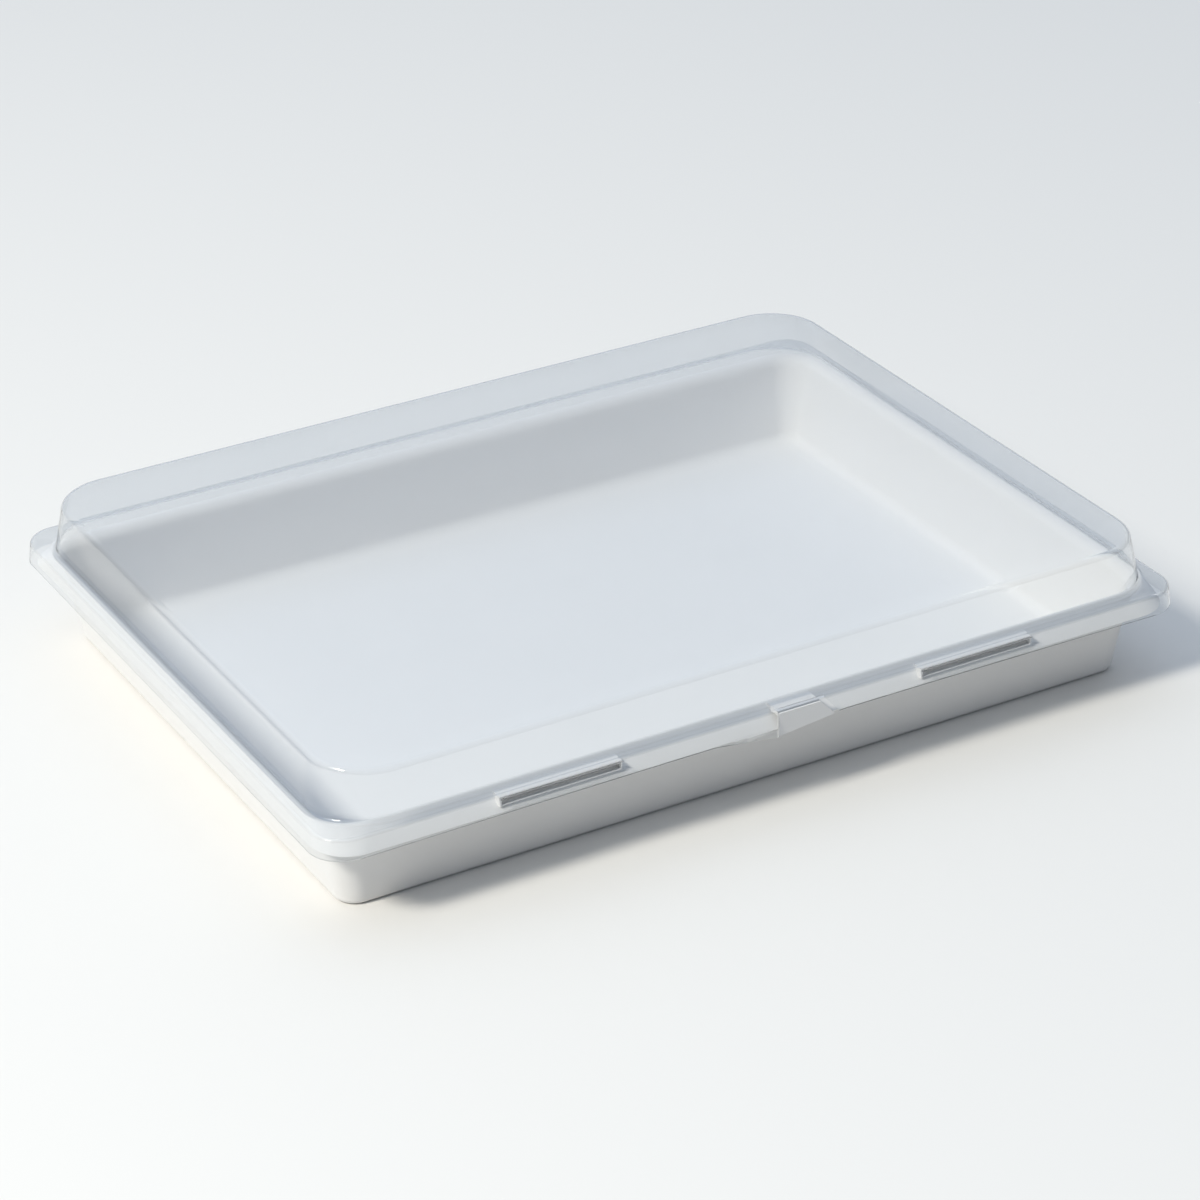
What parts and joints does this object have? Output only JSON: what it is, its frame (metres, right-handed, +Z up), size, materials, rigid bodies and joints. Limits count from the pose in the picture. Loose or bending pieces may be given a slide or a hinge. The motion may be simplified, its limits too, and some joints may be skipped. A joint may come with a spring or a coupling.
{
  "type": "tray with lid",
  "caption": "Shallow rectangular white plastic pan with a flat floor and drafted walls, closed by a clear formed lid that snaps over its rim",
  "frame": {"origin": "middle of the footprint at the height of the surface it stands on", "axes": "+X along the long side, -Y towards the front with the finger tabs, +Z up"},
  "size_m": [0.34, 0.26, 0.0555],
  "materials": {
    "white_plastic": "opaque, soft sheen",
    "clear_plastic": "clear, glossy"
  },
  "bodies": {
    "tray": {"tray": "white_plastic"},
    "lid": {"lid": "clear_plastic"}
  },
  "joints": [
    {"name": "lid_lift", "type": "slide", "parent": "tray", "child": "lid", "axis": [0, 0, 1], "range_m": [0, 0.08]}
  ]
}
